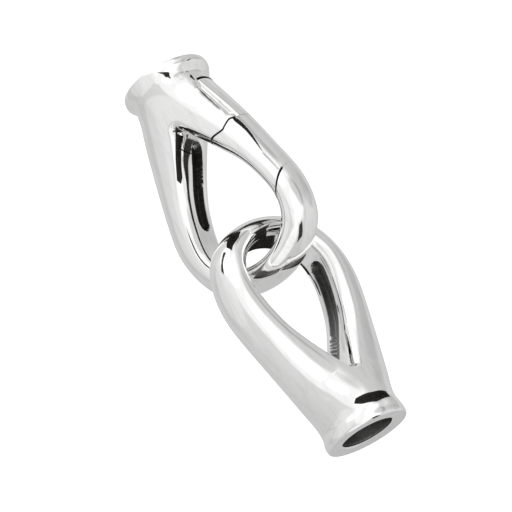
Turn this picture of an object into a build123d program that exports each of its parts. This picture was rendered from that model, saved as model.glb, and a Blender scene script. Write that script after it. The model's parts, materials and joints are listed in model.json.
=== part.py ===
"""Push-button clasp: two interlocked link halves of polished metal, in millimetres.

Each half is a flared trumpet for a 6 mm cord that splits into two legs, and the legs close
to a loop. One half has a gate in its loop and a push button that lies in its shoulder.

A half is drawn in its own frame: Z runs along its axis from the end face into the loop,
X lies across the loop in its plane, and Y is the loop's thickness. At the end each half is
turned and laid down so that its rim and the underside of its loop touch the floor.
"""
from build123d import *
import math
import os

# sizes of both halves
bore_radius = 3.0            # the cord that is glued in
bore_depth = 6.0
bore_bevel = 0.2
gate_rim_radius = 5.0        # lip of the trumpet on the half with the gate
loop_rim_radius = 4.8
lip_height = 0.63            # from the end face to the lip's widest line
lip_round = 0.16
neck_at = 2.0                # narrowest place behind the lip
neck_half_width = 4.5
neck_half_thickness = 4.9
loop_half_width = 8.23       # outer outline
widest_at = 17.84
half_length = 26.4
hole_half_width = 5.09       # hole's outline
crotch_at = 6.4
hole_widest_at = 18.9
hole_end_at = 24.13
loop_power = 2.33            # 2 would close the loop as an ellipse
leg_half_thickness = 2.6
shoulder_fade = 5.0          # how soon the thick neck thins out to a leg
leg_crest = 0.584            # share of a leg's depth at which it is thickest
leg_flat = 0.63              # flat inner face, as a share of the thickness
crotch_flat = 0.82
overlap = 0.06               # how far the neck runs into the legs that grow out of it
neck_proud = 0.04            # how far it stands out past them there

# grooves hollowed in the flat inner faces
groove_width = 1.9
groove_depth = 0.8
groove_start = 7.9
gate_groove_end = 16.6
loop_groove_end = 20.2

# gate, button and their pins
seam = 0.12                  # gap of the two cuts that free the gate
gate_top = 10.2
gate_cut_inner = (20.4, 5.02)    # (along the axis, across) where the lower cut leaves the hole
gate_cut_slope = -0.92           # along the axis for each millimetre outwards
pin_radius = 0.4
pin_fit = 0.04               # radial play of the pins
pin_cover = 0.35             # metal left over each end of a pin
gate_pin_at = (21.2, 5.75)
gate_knuckle_radius = 0.75
gate_knuckle_width = 1.8
gate_knuckle_gap = 0.12
gate_web = 2.6               # how far the web runs from the pin into the gate
gate_web_sweep = 2.2         # room for the web as the gate swings, in knuckle radii
gate_past = 2.0              # how far the cutting shapes stand out past the metal
button_start = 3.35
button_width = 3.7
button_tip_thickness = 0.8
button_root_thickness = 1.5
button_gap = 0.13
button_travel_deg = 5.0
button_floor_gap = 0.1       # left under the button's tip when it is pushed in
button_pin_at = (9.2, 5.1)

# how the halves lie
gate_roll_deg = 32.0         # loop plane about the long axis
loop_roll_deg = -32.8
half_span = 23.0             # from the middle to the centre of each end face


def smooth(x):
    x = min(max(x, 0.0), 1.0)
    return x * x * (3 - 2 * x)


def outer_at(t):
    """Half width of the outline between the neck and the loop's widest place."""
    x = min(max((t - neck_at) / (widest_at - neck_at), 0.0), 1.0)
    return neck_half_width + (loop_half_width - neck_half_width) * (1 - (1 - x) ** 1.25)


def hole_at(t):
    """Half width of the hole between its crotch and its widest place."""
    x = min(max((t - crotch_at) / (hole_widest_at - crotch_at), 0.0), 1.0)
    return hole_half_width * (1 - (1 - x) ** 1.43)


def thick_at(t):
    fade = math.exp(-(t - neck_at) / shoulder_fade)
    thin_end = 0.27 * smooth((t - widest_at) / (half_length - widest_at))
    return leg_half_thickness + (neck_half_thickness - leg_half_thickness) * fade - thin_end


def crest_at(t):
    return leg_crest * smooth((t - neck_at) / (crotch_at + 3.2 - neck_at))


def flat_at(t):
    if t < crotch_at:
        return 1 - (1 - crotch_flat) * smooth((t - neck_at) / (crotch_at - neck_at))
    return crotch_flat + (leg_flat - crotch_flat) * smooth((t - crotch_at) / 3.7)


def leg_station(x):
    """Inner and outer point of a leg's section, as (along, across), and its thickness.

    x runs from 0 at the crotch to 1 at the loop's widest place and to 2 at its end.
    """
    if x <= 1:
        t_out = crotch_at + (widest_at - crotch_at) * x
        t_in = crotch_at + (hole_widest_at - crotch_at) * x
        return (t_in, hole_at(t_in)), (t_out, outer_at(t_out)), t_out
    turn = math.radians(90 * (x - 1))
    c, s = math.cos(turn) ** (2 / loop_power), math.sin(turn) ** (2 / loop_power)
    inner = (hole_widest_at + (hole_end_at - hole_widest_at) * s, hole_half_width * c)
    t_out = widest_at + (half_length - widest_at) * s
    return inner, (t_out, loop_half_width * c), t_out


def section_point(turn_deg, depth, thick, crest, flat):
    """A point of a section: 0 is its outermost point, 90 its crest, 180 would be its middle."""
    last = 180 - math.degrees(math.asin(min(flat, 0.9999)))
    a = math.radians(min(turn_deg, last))
    if turn_deg <= 90:
        return crest * depth + (1 - crest) * depth * math.cos(a), thick * math.sin(a)
    reach = crest * depth / max(-math.cos(math.radians(last)), 1e-6)
    return crest * depth + reach * math.cos(a), thick * math.sin(a)


def half_outline(depth, thick, crest, flat):
    """Two arcs of the upper quarter: outermost point to crest, crest to the flat face."""
    last = 180 - math.degrees(math.asin(min(flat, 0.9999)))
    turns = (0, 48, 90, (90 + last) / 2, last)
    return [section_point(a, depth, thick, crest, flat) for a in turns]


def full_section(points):
    """A closed section of eight arcs: the five points, mirrored across and up and down."""
    for across in (1, -1):
        for up in (1, -1):
            p = [(across * x, up * y) for x, y in points]
            ThreePointArc(p[0], p[1], p[2])
            ThreePointArc(p[2], p[3], p[4])


def leg_section(points):
    """A closed section of four arcs and the flat inner face."""
    for up in (1, -1):
        p = [(x, up * y) for x, y in points]
        ThreePointArc(p[0], p[1], p[2])
        ThreePointArc(p[2], p[3], p[4])
    Line((points[4][0], points[4][1]), (points[4][0], -points[4][1]))


def build_blank(rim_radius):
    """One whole half without its bore, cuts and grooves."""
    with BuildPart() as blank:
        for t, wide, thick in ((0, rim_radius - lip_round, rim_radius - lip_round),
                               (lip_height, rim_radius, rim_radius),
                               (neck_at, neck_half_width, neck_half_thickness)):
            with BuildSketch(Plane.XY.offset(t)):
                Ellipse(wide, thick)
        loft()
        for share in (0, 0.5, 1):
            t = neck_at + (crotch_at + overlap - neck_at) * share
            proud = neck_proud * share
            with BuildSketch(Plane.XY.offset(t)):
                with BuildLine():
                    full_section(half_outline(outer_at(t) + proud, thick_at(t) + proud,
                                              max(crest_at(t), 0.08), min(flat_at(t), 0.99)))
                make_face()
        loft()
        stations = (0, 0.12, 0.3, 0.55, 0.8, 1, 1.25, 1.5, 1.75, 2)
        round_trip = [(x, 1) for x in stations] + [(x, -1) for x in stations[-2::-1]]
        for x, side in round_trip:
            inner, outer, t = leg_station(x)
            across = Vector(side * (outer[1] - inner[1]), 0, outer[0] - inner[0])
            plane = Plane(origin=(side * inner[1], 0, inner[0]), x_dir=across,
                          z_dir=across.cross(Vector(0, 1, 0)))
            points = half_outline(across.length, thick_at(t), max(crest_at(t), 0.08),
                                  min(flat_at(t), 0.99))
            with BuildSketch(plane):
                with BuildLine():
                    leg_section(points)
                make_face()
        loft()
    return blank.part


def cut_bore():
    """Cuts the cord bore with its small bevel out of the current part."""
    with Locations((0, 0, 0)):
        Cylinder(bore_radius, 2 * bore_depth, mode=Mode.SUBTRACT)
        Cone(bore_radius + 2 * bore_bevel, bore_radius, 2 * bore_bevel,
             mode=Mode.SUBTRACT)


def band(start, end, low, high, width, steps=10):
    """A prism across the thickness between two curves low(t) and high(t) of the loop plane."""
    ts = [start + (end - start) * i / steps for i in range(steps + 1)]
    with BuildPart(mode=Mode.PRIVATE) as strip:
        with BuildSketch(Plane.XZ):
            with BuildLine():
                Polyline(*[(low(t), t) for t in ts], *[(high(t), t) for t in reversed(ts)],
                         close=True)
            make_face()
        extrude(amount=width / 2, both=True)
    return strip.part


def groove(end):
    """A round-ended groove of even depth in the inner face of the leg on the +X side."""
    with BuildPart(mode=Mode.PRIVATE) as tool:
        with BuildSketch(Plane.YZ):
            with Locations((0, (groove_start + end) / 2)):
                SlotOverall(end - groove_start, groove_width, rotation=90)
        extrude(amount=loop_half_width)
        add(band(groove_start, end, lambda t: 0, lambda t: hole_depth(t), groove_width + 1),
            mode=Mode.INTERSECT)
    return tool.part


def hole_depth(t):
    """The groove's floor, measured from the middle of the loop."""
    if t <= hole_widest_at:
        return hole_at(t) + groove_depth
    s = (t - hole_widest_at) / (hole_end_at - hole_widest_at)
    return hole_half_width * (1 - s ** loop_power) ** (1 / loop_power) + groove_depth


def lower_cut(across):
    return gate_cut_inner[0] + gate_cut_slope * (across - gate_cut_inner[1])


def prism(points, width):
    """A prism across the thickness over (along, across) points of the loop plane."""
    with BuildPart(mode=Mode.PRIVATE) as body:
        with BuildSketch(Plane.XZ):
            with BuildLine():
                Polyline(*[(v, t) for t, v in points], close=True)
            make_face()
        extrude(amount=width / 2, both=True)
    return body.part


def rod(at, radius, width):
    """A round bar across the thickness at an (along, across) point."""
    with BuildPart(mode=Mode.PRIVATE) as body:
        with BuildSketch(Plane.XZ):
            with Locations((at[1], at[0])):
                Circle(radius)
        extrude(amount=width / 2, both=True)
    return body.part


def gate_zone(gap):
    """The piece of the leg between the two cuts, grown by gap at each cut."""
    far = loop_half_width + gate_past
    near = gate_cut_inner[1] - gate_past
    start = hole_at(gate_top) - gate_past / 2
    top = gate_top - gap
    return prism([(top, start), (top, far), (lower_cut(far) + gap, far),
                  (lower_cut(near) + gap, near), (top + 2 * gate_past, start)],
                 4 * leg_half_thickness)


def knuckle_zone(radius, reach, width):
    """The gate's hinge knuckle round its pin, and the web that joins it to the gate."""
    along, across = gate_pin_at
    web = [(along, across - radius * reach), (along, across + radius),
           (along - gate_web, across + radius), (along - gate_web, across - radius * reach)]
    with BuildPart(mode=Mode.PRIVATE) as body:
        add(prism(web, width))
        add(rod(gate_pin_at, radius, width))
    return body.part


def button_zone(side_gap, end_gap, floor_gap):
    """The button's place in the shoulder; the gaps turn it into the slot that it lies in."""
    length = gate_top - seam / 2 - button_start

    def floor(t):
        x = (t - button_start) / length
        thick = button_tip_thickness + (button_root_thickness - button_tip_thickness) * x
        return outer_at(t) - thick - floor_gap(t)
    end = gate_top - (seam / 2 if end_gap == 0 else -seam)
    return band(button_start - end_gap, end, floor, lambda t: loop_half_width + gate_past,
                button_width + 2 * side_gap, steps=6)


def slot_floor_gap(t):
    """Room under the button: its travel at the tip, less towards its pin."""
    travel = math.tan(math.radians(button_travel_deg))
    return button_floor_gap + max(button_pin_at[0] - t, 0) * travel


# the half with the gate
gate_blank = build_blank(gate_rim_radius)
pin_length = 2 * (leg_half_thickness - pin_cover)
pin_hole = pin_length + 2 * pin_fit
with BuildPart() as gate_link:
    add(gate_blank)
    cut_bore()
    add(mirror(groove(gate_groove_end), about=Plane.YZ), mode=Mode.SUBTRACT)
    add(gate_zone(seam / 2), mode=Mode.SUBTRACT)
    add(button_zone(button_gap, button_gap, slot_floor_gap), mode=Mode.SUBTRACT)
    add(knuckle_zone(gate_knuckle_radius + gate_knuckle_gap, gate_web_sweep,
                     gate_knuckle_width + 2 * gate_knuckle_gap), mode=Mode.SUBTRACT)
    add(rod(gate_pin_at, pin_radius + pin_fit, pin_hole), mode=Mode.SUBTRACT)
    add(rod(button_pin_at, pin_radius + pin_fit, pin_hole), mode=Mode.SUBTRACT)

with BuildPart() as gate:
    add(gate_blank)
    add(gate_zone(-seam / 2), mode=Mode.INTERSECT)
    add(knuckle_zone(gate_knuckle_radius, 1.0, gate_knuckle_width))
    add(rod(gate_pin_at, pin_radius + pin_fit, 4 * leg_half_thickness), mode=Mode.SUBTRACT)

with BuildPart() as push_button:
    add(gate_blank)
    add(button_zone(0, 0, lambda t: 0), mode=Mode.INTERSECT)
    add(rod(button_pin_at, pin_radius + pin_fit, 4 * leg_half_thickness), mode=Mode.SUBTRACT)

with BuildPart() as gate_pin:
    add(rod(gate_pin_at, pin_radius, pin_length))
with BuildPart() as button_pin:
    add(rod(button_pin_at, pin_radius, pin_length))

# the plain half
with BuildPart() as loop_link:
    add(build_blank(loop_rim_radius))
    cut_bore()
    add(groove(loop_groove_end), mode=Mode.SUBTRACT)
    add(mirror(groove(loop_groove_end), about=Plane.YZ), mode=Mode.SUBTRACT)


def lowest_of_loop(roll, slope):
    """Lowest point of a half's loop below the centre of its end face, for a rising axis."""
    low = 0.0
    for i in range(41):
        inner, outer, t = leg_station(i / 20)
        depth = math.hypot(outer[0] - inner[0], outer[1] - inner[1])
        for turn in range(0, 176, 5):
            d, w = section_point(turn, depth, thick_at(t), crest_at(t), flat_at(t))
            along = inner[0] + (outer[0] - inner[0]) * d / depth
            across = inner[1] + (outer[1] - inner[1]) * d / depth
            down = -abs(across * math.sin(roll)) - abs(w * math.cos(roll))
            low = min(low, along * math.sin(slope) + down * math.cos(slope))
    return low


def resting_slope(roll_deg, rim_radius):
    """The slope at which rim and loop touch the floor together, found by halving."""
    low, high = 0.0, math.radians(20)
    for _ in range(30):
        slope = (low + high) / 2
        rim = lip_height * math.sin(slope) - rim_radius * math.cos(slope)
        if lowest_of_loop(math.radians(roll_deg), slope) < rim:
            low = slope
        else:
            high = slope
    return (low + high) / 2


def laid_down(roll_deg, rim_radius, toward):
    """Places a half: toward is +1 if its axis runs to +Y and -1 if it runs to -Y."""
    slope = resting_slope(roll_deg, rim_radius)
    roll = math.radians(roll_deg)
    axis = Vector(0, toward * math.cos(slope), math.sin(slope))
    level = Vector(-toward, 0, 0)
    up = axis.cross(level)
    across = level * math.cos(roll) + up * math.sin(roll)
    if toward > 0:
        across = level * math.cos(roll) - up * math.sin(roll)
    rest = rim_radius * math.cos(slope) - lip_height * math.sin(slope)
    return Plane(origin=(0, -toward * half_span, rest), x_dir=across, z_dir=axis).location


gate_place = laid_down(gate_roll_deg, gate_rim_radius, -1)
loop_place = laid_down(loop_roll_deg, loop_rim_radius, 1)
pieces = {
    "gate_link": (gate_link, gate_place), "gate": (gate, gate_place),
    "push_button": (push_button, gate_place), "gate_pin": (gate_pin, gate_place),
    "button_pin": (button_pin, gate_place), "loop_link": (loop_link, loop_place),
}
placed = {name: piece.part.moved(place) for name, (piece, place) in pieces.items()}
boxes = [solid.bounding_box() for solid in placed.values()]
shift = Location((-(min(b.min.X for b in boxes) + max(b.max.X for b in boxes)) / 2,
                  -(min(b.min.Y for b in boxes) + max(b.max.Y for b in boxes)) / 2,
                  -min(b.min.Z for b in boxes)))
os.makedirs("parts", exist_ok=True)
for name, solid in placed.items():
    finished = solid.moved(shift)
    finished.label = name
    export_step(finished, f"parts/{name}.step")
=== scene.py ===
# %% [markdown]
# # A push-button clasp in polished silver
#
# The clasp joins the two ends of a round leather cord. It is two cast halves that hook into each
# other like chain links. Each half starts as a flared trumpet for the cord, splits into two legs,
# and the legs close to a loop. One half has a gate in its loop, held by a push button.
#
# Mirror metal shows every dent of its mesh, so each half is one smooth surface, worked out with
# numpy from a few named sizes.

# %% Load the fixed frame
import json
import math

import bmesh
import bpy
import numpy as np
from mathutils import Matrix, Vector


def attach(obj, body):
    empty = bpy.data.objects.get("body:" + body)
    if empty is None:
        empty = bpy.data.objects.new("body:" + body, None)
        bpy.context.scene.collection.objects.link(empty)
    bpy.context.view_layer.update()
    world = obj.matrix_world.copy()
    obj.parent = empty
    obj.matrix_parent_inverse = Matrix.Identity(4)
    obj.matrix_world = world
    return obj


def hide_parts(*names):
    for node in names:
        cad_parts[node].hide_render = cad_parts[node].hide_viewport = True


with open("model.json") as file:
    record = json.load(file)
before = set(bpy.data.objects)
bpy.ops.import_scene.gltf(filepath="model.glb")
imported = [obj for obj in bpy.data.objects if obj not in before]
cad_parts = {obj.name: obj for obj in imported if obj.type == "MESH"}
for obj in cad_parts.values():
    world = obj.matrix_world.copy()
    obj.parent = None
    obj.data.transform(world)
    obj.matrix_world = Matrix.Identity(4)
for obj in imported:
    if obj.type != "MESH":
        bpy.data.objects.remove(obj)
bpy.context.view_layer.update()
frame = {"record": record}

# %% [markdown]
# ## The two halves' own axes
#
# A half is drawn in millimetres in its own frame: t runs along its axis from the end face into the
# loop, v lies across the loop, and w is the loop's thickness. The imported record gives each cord
# bore with a point on its axis and the way out of its mouth, so the frame is built on those. Each
# loop is then rolled about its axis, as two links that lie hooked in each other do.

# %% Axes of a half, from its bore
MM = 0.001
BORE_POINT = 3.1             # how deep in the bore the record's point lies
ROLL = {"gate": 32.0, "loop": 32.8}
mounts = {m["name"]: m for m in frame["record"]["mounts"]}


def half_axes(half):
    """Origin and the t, v and w directions of a half. v is the level direction across the axis,
    turned up about the axis by the half's roll, and w completes the right-handed frame."""
    bore = mounts[f"cord_bore_{half}"]
    out = np.array(bore["axis"]) / np.linalg.norm(bore["axis"])
    t = -out
    level = np.cross((0, 0, 1), t)
    level /= np.linalg.norm(level)
    up = np.cross(t, level)
    roll = math.radians(ROLL[half])
    v = level * math.cos(roll) + up * math.sin(roll)
    return np.array(bore["pos_m"]) + out * BORE_POINT * MM, t, v, np.cross(t, v)


AXES = {half: half_axes(half) for half in ROLL}
for half, (origin, t, v, w) in AXES.items():
    print(half, "origin", origin.round(5), "t", t.round(3), "v", v.round(3), "w", w.round(3))


def to_world(half, points):
    """Points (t, v, w) in millimetres of a half as x, y, z in metres."""
    origin, t, v, w = AXES[half]
    return origin + MM * (points[:, :1] * t + points[:, 1:2] * v + points[:, 2:] * w)


# %% [markdown]
# ## The outline of a half
#
# Seen square on, a half has two outlines: the outer one from the neck round the loop's end, and
# the tear-drop hole. Each is a cubic spline through a short table, because its curvature has no
# jumps: on a mirror a jump shows as a kink in every reflection. The parameter x is 0 at the
# crotch, 1 at the loop's widest place and 2 at its end, and a section of the leg joins the two
# outlines at the same x.

# %% A cubic spline and a soft step
def spline(knots, values):
    """The curve through the points whose third derivative is constant between knots and whose
    second derivative is 0 at both ends: the second derivatives solve a tridiagonal system."""
    knots, values = np.array(knots, float), np.array(values, float)
    h, n = np.diff(knots), len(knots)
    rows, right = np.eye(n), np.zeros(n)
    i = np.arange(1, n - 1)
    rows[i, i - 1], rows[i, i], rows[i, i + 1] = h[:-1], 2 * (h[:-1] + h[1:]), h[1:]
    right[1:-1] = 6 * np.diff(np.diff(values) / h)
    bend = np.linalg.solve(rows, right)

    def at(x):
        k = np.clip(np.searchsorted(knots, x) - 1, 0, n - 2)
        after, before = x - knots[k], knots[k + 1] - x
        return ((bend[k] * before**3 + bend[k + 1] * after**3) / (6 * h[k])
                + (values[k] / h[k] - bend[k] * h[k] / 6) * before
                + (values[k + 1] / h[k] - bend[k + 1] * h[k] / 6) * after)

    return at


def soft(x):
    """0 below 0, 1 above 1, and 6x^5 - 15x^4 + 10x^3 between, with no jump in curvature."""
    x = np.clip(x, 0, 1)
    return x**3 * (10 + x * (6 * x - 15))


print("a soft step has reached", round(float(soft(0.25)), 3), "after a quarter of its way")

# %% Outlines
NECK = 2.0                   # where the trumpet ends and the neck begins, along t
CROTCH, WIDEST, HALF_LENGTH = 5.68, 18.01, 26.76
NECK_X, NECK_HALF = -0.385, 4.31    # the neck's place in x, and its half width
SLOPE_STEP = 1e-4            # a small step in x, over which slopes are measured
#            x       outer t      outer v    hole t  hole v
OUTLINES = [(-0.7,   -1.7,        3.55,      None,   None),
            (NECK_X, NECK,        NECK_HALF, None,   None),
            (0.0,    CROTCH,      5.73,      7.30,   0.0),
            (0.35,   10.28,       7.18,      11.16,  2.34),
            (0.7,    14.35,       8.21,      14.64,  4.10),
            (1.0,    WIDEST,      8.69,      18.78,  5.07),
            (1.333,  22.80,       7.57,      21.75,  4.50),
            (1.667,  25.64,       4.62,      23.40,  2.81),
            (2.0,    HALF_LENGTH, 0.0,       24.13,  0.0)]


def outline(column, odd, first):
    """The spline of one column. It runs on past the loop's end, where the loop mirrors itself:
    odd columns change their sign there."""
    rows = OUTLINES[first:]
    x, y = [r[0] for r in rows], [r[column] for r in rows]
    x += [4 - r[0] for r in rows[-2:-5:-1]]
    y += [-r[column] if odd else r[column] for r in rows[-2:-5:-1]]
    return spline(x, y)


outer_t, outer_v = outline(1, False, 0), outline(2, True, 0)
hole_t, hole_v = outline(3, False, 2), outline(4, True, 2)
pace = float(outer_t(NECK_X + SLOPE_STEP) - outer_t(NECK_X)) / SLOPE_STEP
flare = float(outer_v(NECK_X + SLOPE_STEP) - outer_v(NECK_X)) / SLOPE_STEP / pace
print("at the neck t grows by", round(pace, 2), "for each x, and the width by", round(flare, 3))

# %% [markdown]
# ## The section of a leg
#
# Cut across, a leg is an oval that is filed flat on the side of the hole. From its outermost line
# it rises to a crest as a quarter of an ellipse, and near the hole it rolls over to the flat
# face. The roll-over depends only on how far a point is from the hole's outline, so it also runs
# round the crotch, where the two legs meet, without a seam. The product of the two gives the
# height of the skin.

# %% Sizes along a half
LIP, LIP_ROUND = 0.63, 0.16  # the lip's widest line, and how far it rounds in to the end face
NECK_THICK, LEG_THICK, THIN_END, FADE = 4.9, 2.6, 0.27, 5.0
ROLL_OVER, ROLL_SHARE = 1.35, 0.62   # widest roll-over, and the most that it takes of a leg
FLAT_CROTCH, FLAT_LEG = 1.15, 1.58   # half width of the flat face
FLAT_FROM, FLAT_OVER = 8.2, 3.6      # where it starts to widen, and over how long
EDGE, EDGE_OVER = 0.13, 0.12 # rounding of the hole's edges, and over how much of x it grows
RIM = {"gate": 5.0, "loop": 4.8}
SOFTEN, SOFTEN_OVER = 0.22, 0.3      # over how much of x the skin feels the hole begin
EASE = 0.12                  # how softly the rise and the roll-over end at a leg's crest
MOUTH_X = NECK_X - NECK / pace   # the end face


def hermite(t, y0, y1, slope):
    """A cubic from y0, level, at the lip to y1 with the given slope at the neck."""
    s = (t - LIP) / (NECK - LIP)
    return y0 + (y1 - y0) * s * s * (3 - 2 * s) + slope * (NECK - LIP) * s * s * (s - 1)


def sizes(x, rim):
    """Everything a section needs, at each x. Below the neck x runs on at the same pace, and the
    trumpet flares from the neck to a lip with a rounded edge."""
    below = x < NECK_X
    t = np.where(below, NECK + (x - NECK_X) * pace, outer_t(x))
    lip = rim - LIP_ROUND * (1 - np.sqrt(np.clip(1 - ((LIP - t) / LIP) ** 2, 0, 1)))
    in_lip = t < LIP
    trumpet_v = np.where(in_lip, lip, hermite(t, rim, NECK_HALF, flare))
    sink = -(NECK_THICK - LEG_THICK) / FADE
    trumpet_w = np.where(in_lip, lip, hermite(t, rim, NECK_THICK, sink))
    leg = (LEG_THICK + (NECK_THICK - LEG_THICK) * np.exp(-(t - NECK) / FADE)
           - THIN_END * soft((t - WIDEST) / (HALF_LENGTH - WIDEST)))
    v, in_hole = np.where(below, trumpet_v, outer_v(x)), np.clip(x, 0, 2)
    depth = np.where(x < 0, outer_v(0), np.hypot(outer_t(in_hole) - hole_t(in_hole),
                                                 outer_v(in_hole) - hole_v(in_hole)))
    share = 1 / np.hypot(depth / ROLL_OVER, 1 / ROLL_SHARE)
    return dict(t=t, v=v, thick=np.where(below, trumpet_w, leg), depth=depth, roll=share * depth,
                crest=share * np.where(x < 0, soft((t - NECK) / (CROTCH - NECK)), 1),
                flat=FLAT_CROTCH + (FLAT_LEG - FLAT_CROTCH) * soft((t - FLAT_FROM) / FLAT_OVER),
                edge=EDGE * soft(x / EDGE_OVER), ease=EASE * soft((t - NECK) / (CROTCH - NECK)))


widest = sizes(np.array(1.0), RIM["loop"])
print("at the widest place a leg is", round(float(widest["depth"]), 2), "mm deep and",
      round(2 * float(widest["thick"]), 2), "mm thick")


# %% A point at a share of the depth
def at_share(x, share, size):
    """The (t, v) point at a share of a leg's depth, 0 on the hole's outline and 1 on the outer
    one. Between them the skin feels the hole begin softly: x is replaced by half of
    x + sqrt(x^2 + d^2), with d growing from 0 at the hole's own edge and fading out towards the
    lip. So does the difference between the two outlines' t."""
    d = SOFTEN * share * (1 - soft(x)) * soft((x - NECK_X) / SOFTEN_OVER)
    felt = np.clip((x + np.sqrt(x * x + d * d)) / 2, 0, 2)
    gap = (hole_t(felt) - outer_t(felt)) * soft(1 - x / NECK_X)
    return size["t"] + gap * (1 - share), hole_v(felt) * (1 - share) + size["v"] * share


hole_x = np.linspace(0, 2, 321)
hole_line = np.stack([hole_t(hole_x), hole_v(hole_x)], 1)
print("the hole runs from t", hole_line[0, 0].round(2), "to", hole_line[-1, 0].round(2))


def from_hole(t, v):
    """The distance of points to the hole's outline, taken as a chain of short straight pieces:
    each piece's nearest point is the foot of the perpendicular, kept between its ends."""
    piece = np.diff(hole_line, axis=0)
    offset_t, offset_v = t[..., None] - hole_line[:-1, 0], v[..., None] - hole_line[:-1, 1]
    foot = np.clip((offset_t * piece[:, 0] + offset_v * piece[:, 1]) / (piece**2).sum(1), 0, 1)
    return np.hypot(offset_t - foot * piece[:, 0], offset_v - foot * piece[:, 1]).min(-1)


# %% Height of the skin
def eased(u, ease):
    """u where it is well above 0, near 0 where it is below, and 1 at 1:
    (u + sqrt(u^2 + ease^2)) / 2, scaled."""
    return (u + np.sqrt(u * u + ease**2)) / (1 + np.sqrt(1 + ease**2))


def height(share, size, distance):
    """The skin's height over the loop's plane: thickness, times the rise from the outermost
    line, times the roll-over, both as quarters of an ellipse."""
    past = eased((share - size["crest"]) / (1 - size["crest"]), size["ease"])
    rise = np.sqrt(np.clip(1 - past**2, 0, 1))
    filed = np.clip(1 - (size["flat"] / size["thick"]) ** 2, 0, 1)
    over = eased(1 - distance / size["roll"], size["ease"])
    return size["thick"] * rise * np.sqrt(1 - filed * over**2)


def skin_point(x, share, size):
    """Points (t, v, w) of the upper skin at x and share."""
    t, v = np.broadcast_arrays(*at_share(x, share, size))
    return np.stack([t, v, height(share, size, from_hole(t, v))], -1)


def share_at_height(w, size):
    """The share at which the rise reaches a height w, by turning the formula for it round."""
    level = np.sqrt(1 - (w / size["thick"]) ** 2) * (1 + np.sqrt(1 + size["ease"] ** 2)) / 2
    return size["crest"] + (1 - size["crest"]) * (level - size["ease"] ** 2 / 4 / level)


print("1 mm up, the skin has reached share", share_at_height(1.0, widest).round(3))

# %% [markdown]
# ## The leg with the gate
#
# Both halves share these outlines, but the leg with the gate and the button runs straighter. It is
# drawn in towards the axis, most on its outermost line and not at all at the hole.

# %% Drawing in the gate's leg
#         t    how far it is drawn in
DRAWN = [(2.5, 0.0), (6.0, 0.30), (9.5, 0.42), (13.0, 0.58), (16.0, 0.60), (19.0, 0.36),
         (23.0, 0.0)]
THIN_LEAST = 0.5             # the leg's least width in v for the soft step across it
drawn = spline(*zip(*DRAWN))
outer_x = np.linspace(NECK_X, 2, 321)
print("drawn in by up to", max(row[1] for row in DRAWN), "mm")


def drawn_in(points):
    """Moves points (t, v, w) of the +v side in: by the table's amount for their t, times a soft
    step from the hole's outline to the outer one."""
    t, v = points[:, 0], points[:, 1]
    hole = np.interp(t, hole_line[:, 0], hole_line[:, 1], left=0.0)
    outer = np.interp(t, outer_t(outer_x), outer_v(outer_x))
    amount = np.where((t > DRAWN[0][0]) & (t < DRAWN[-1][0]), drawn(t), 0)
    moved = points.copy()
    moved[:, 1] -= amount * soft((v - hole) / np.maximum(outer - hole, THIN_LEAST))
    return moved


# %% [markdown]
# ## The skin and the inside of a leg
#
# The skin is the oval from edge to edge, and the inside is the flat face with its two rounded
# edges. Both are grids: rows along the leg and columns round it, so a leg is their two grids
# sewn together. Each edge is a quadratic curve whose middle control point is the sharp corner.
# The first columns lie over the width of the button's slot, which later gives it clean straight
# sides. The others follow equal turns of two ellipses, so more of them lie where the skin bends
# more.

# %% The skin
SLOT_SHARE = 0.34            # share of the columns that lies over the button's slot
SLOT_START, SLOT_HALF = 3.1, 1.95
SLOT_NARROWS, SLOT_TAPER = 0.23, 6.5 # by how much it narrows, and over how long
SWING_END, OVERHANG = math.radians(150), 0.02    # where the turns end, and how far past the hole


def slot_half(t):
    """Half the slot's width: it narrows a little towards the gate."""
    return SLOT_HALF - SLOT_NARROWS * soft((t - SLOT_START) / SLOT_TAPER)


def share_of(k, size):
    """The share of depth of column share k, 0 on the outermost line and 1 where the edge's
    rounding starts."""
    side = np.arcsin(np.clip(slot_half(size["t"]) / size["thick"], 0, 1))
    k = np.abs(k)
    over_slot = share_at_height(size["thick"] * np.sin(np.minimum(k / SLOT_SHARE, 1) * side), size)
    last = size["edge"] / size["depth"]
    from_side = share_at_height(size["thick"] * np.sin(side), size)
    turn = np.clip((k - SLOT_SHARE) / (1 - SLOT_SHARE), 0, 1)
    swing = side + turn * (SWING_END - side)
    inner = np.where(swing > math.pi / 2, size["crest"] + OVERHANG, 1 - size["crest"])
    spread = size["crest"] + inner * np.cos(swing)
    start = size["crest"] + (1 - size["crest"]) * np.cos(side)
    end = size["crest"] + (size["crest"] + OVERHANG) * math.cos(SWING_END)
    beyond = last + (spread - end) / (start - end) * (from_side - last)
    return np.where(k <= SLOT_SHARE, over_slot, beyond)


def skin(x, k, rim):
    """The skin at x and column share k, which is negative on the underside."""
    size = sizes(x, rim)
    points = skin_point(x, share_of(k, size), size)
    points[..., 2] *= np.sign(k)
    return points


print("the slot is", round(2 * float(slot_half(SLOT_START)), 2), "mm wide at its start")

# %% The inside
GROOVE_HALF, GROOVE_DEEP, GROOVE_WALL = 0.95, 0.8, 0.14
GROOVE_START = 7.9
GROOVE_END = {"gate": 16.6, "loop": 20.2}
# The grooves' raw floors are painted dark as the shade in them.
GROOVE_RAW_AND_SHADE = {"gate": 1.0, "loop": 0.86}


def in_groove(points, groove_end):
    """How far a point lies inside the groove, which is a stadium: its half width, less the
    distance to its middle line."""
    middle = np.clip(points[..., 0], GROOVE_START + GROOVE_HALF, groove_end - GROOVE_HALF)
    return GROOVE_HALF - np.hypot(points[..., 0] - middle, points[..., 2])


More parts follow.
